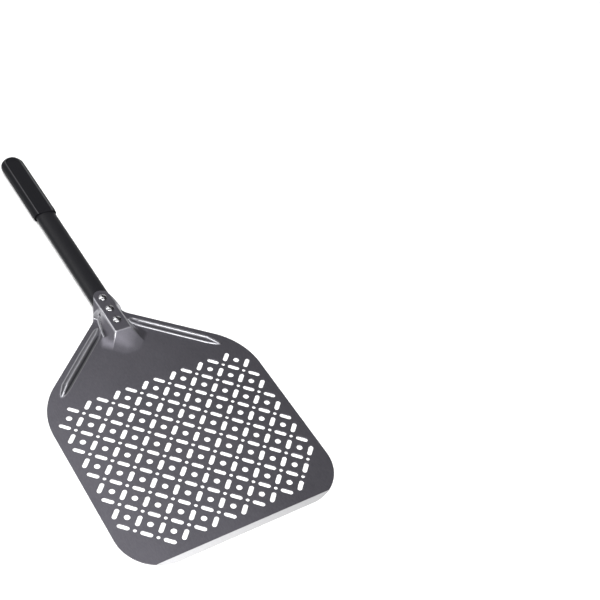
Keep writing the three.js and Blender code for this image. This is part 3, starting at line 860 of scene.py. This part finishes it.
def bright_rivet():
    """Polished formed head."""
    n = Nodes("bright_rivet")
    fine = n.noise(500, 3)
    n.set(Base_Color=n.blend(fine, (0.26, 0.26, 0.27, 1), (0.34, 0.34, 0.35, 1)), Metallic=1.0)
    n.set(Roughness=n.ramp(fine, 0.14, 0.24))
    return n.material


def mandrel_steel():
    """Dark, rough broken steel."""
    n = Nodes("mandrel_steel")
    fine = n.noise(1500, 4)
    n.set(Base_Color=n.blend(fine, (0.010, 0.010, 0.011, 1), (0.035, 0.035, 0.037, 1)), Metallic=0.6)
    n.set(Roughness=n.ramp(fine, 0.6, 0.8), Normal=n.bump(fine, 0.0001, 0.8))
    return n.material


def floor_white():
    """Plain matt white."""
    n = Nodes("floor_white")
    n.set(Base_Color=n.blend(n.noise(3, 2), (0.86, 0.86, 0.86, 1), (0.88, 0.88, 0.88, 1)), Roughness=0.9)
    # The lights fall off away from the peel, so the far floor is lit a little from within.
    distance = n.add("ShaderNodeVectorMath", {0: n.place()}, operation="LENGTH").outputs["Value"]
    n.set(Emission_Color=(1, 1, 1, 1), Emission_Strength=n.ramp(distance, 0, 0.6, 0.7, 1.8))
    return n.material


# ---- The peel -----------------------------------------------------------------------------------

RIVET_YS = [sum(b[1] for b in drawn_box(f"rivet_{k}")) / 2 for k in (1, 2, 3)]

points, faces, normals, bends = blade_mesh()
blade = piece("blade", points, faces, anodised_sheet(), "blade_head", normals=normals)
# How sharply the sheet bends, which the material turns into a painted highlight along the bends.
blade.data.attributes.new("bend", "FLOAT", "POINT").data.foreach_set("value", bends.astype(np.float32))
points, faces = tube_mesh()
piece("tube", points, faces, black_tube(), "handle_tube", sharp=40)
points, faces, ridge_highlight_shares = grip_mesh()
grip = piece("grip", points, faces, black_grip(), "grip_sleeve", sharp=50)
# The ridge attribute carries the painted highlight along the grip's ridges.
grip.data.attributes.new("ridge", "FLOAT", "POINT").data.foreach_set("value", ridge_highlight_shares.astype(np.float32))
rivet_metal, mandrel_metal = bright_rivet(), mandrel_steel()
for k in (1, 2, 3):
    points, faces = rivet_mesh(f"rivet_{k}")
    piece(f"rivet_head_{k}", points, faces, rivet_metal, f"rivet_{k}", sharp=40)
    points, faces = mandrel_mesh(f"rivet_mandrel_{k}")
    piece(f"mandrel_{k}", points, faces, mandrel_metal, f"rivet_mandrel_{k}", sharp=40)

# ---- Stage --------------------------------------------------------------------------------------


FLOOR_RADIUS = 6.0  # metres
FLOOR_Z = -0.0004
FLOOR_SIDES = 64
LIGHT_DISTANCE = 1.8  # metres from the peel
LIGHT_SIZE = 0.8
LIGHT_POWER = 50  # watts, that the lights share out
WORLD_STRENGTH = 0.08

LIGHTS = {  # name: (azimuth, elevation, share of the power)
    "left_low": (185, 15, 0.10),
    "back_left": (133, 44, 0.12),
    "back_left_high": (115, 60, 0.18),
    "front_left": (235, 64, 0.66),
    "front_low": (283, 42, 0.24),
    "front_high": (300, 70, 0.10),
    "far_high": (60, 70, 0.08),
    "back": (90, 38, 0.06),
    "far_low": (50, 8, 0.03),
    "back_left_low": (150, 16, 0.09),
    "back_low": (90, 12, 0.04),
}

CAMERA_PLACE = Vector((-0.54175, -0.95876, 1.16975))
CAMERA_RIGHT = Vector((0.83136, -0.52836, 0.17226))
CAMERA_UP = Vector((0.27517, 0.66067, 0.69842))
CAMERA_LENS = 68.64
CAMERA_SENSOR = 36


def add_floor():
    """A wide white disc just under the peel."""
    mesh = bpy.data.meshes.new("floor")
    turn = np.arange(FLOOR_SIDES) / FLOOR_SIDES * 2 * math.pi
    x, y = FLOOR_RADIUS * np.cos(turn), FLOOR_RADIUS * np.sin(turn)
    rim = np.column_stack((x, y, np.full(FLOOR_SIDES, FLOOR_Z)))
    mesh.from_pydata(rim.tolist(), [], [tuple(range(FLOOR_SIDES))])
    mesh.materials.append(floor_white())
    made = bpy.data.objects.new("floor", mesh)
    bpy.context.scene.collection.objects.link(made)


def add_light(name, azimuth, elevation, watts):
    """A soft square light that looks at the peel from a direction in degrees."""
    data = bpy.data.lights.new(name, "AREA")
    data.size = LIGHT_SIZE
    data.energy = watts
    made = bpy.data.objects.new(name, data)
    bpy.context.scene.collection.objects.link(made)
    a, e = math.radians(azimuth), math.radians(elevation)
    back = Vector((math.cos(e) * math.cos(a), math.cos(e) * math.sin(a), math.sin(e)))
    made.location = back * LIGHT_DISTANCE
    made.rotation_mode = "QUATERNION"
    made.rotation_quaternion = back.to_track_quat("Z", "Y")


def add_world():
    """A faint even white all round."""
    world = bpy.data.worlds.new("studio")
    bpy.context.scene.world = world
    world.use_nodes = True
    background = world.node_tree.nodes["Background"]
    background.inputs["Color"].default_value = (1, 1, 1, 1)
    background.inputs["Strength"].default_value = WORLD_STRENGTH


def add_camera():
    """The camera, from its place and the directions of its right and its up."""
    data = bpy.data.cameras.new("camera")
    data.lens = CAMERA_LENS
    data.sensor_width = CAMERA_SENSOR
    made = bpy.data.objects.new("camera", data)
    bpy.context.scene.collection.objects.link(made)
    back = CAMERA_RIGHT.cross(CAMERA_UP)
    turn = Matrix((CAMERA_RIGHT, CAMERA_UP, back)).transposed().to_4x4()
    made.matrix_world = Matrix.Translation(CAMERA_PLACE) @ turn
    bpy.context.scene.camera = made


add_floor()
add_world()
for name, (azimuth, elevation, share) in LIGHTS.items():
    add_light(name, azimuth, elevation, LIGHT_POWER * share)
add_camera()
bpy.context.scene.view_settings.view_transform = "Standard"
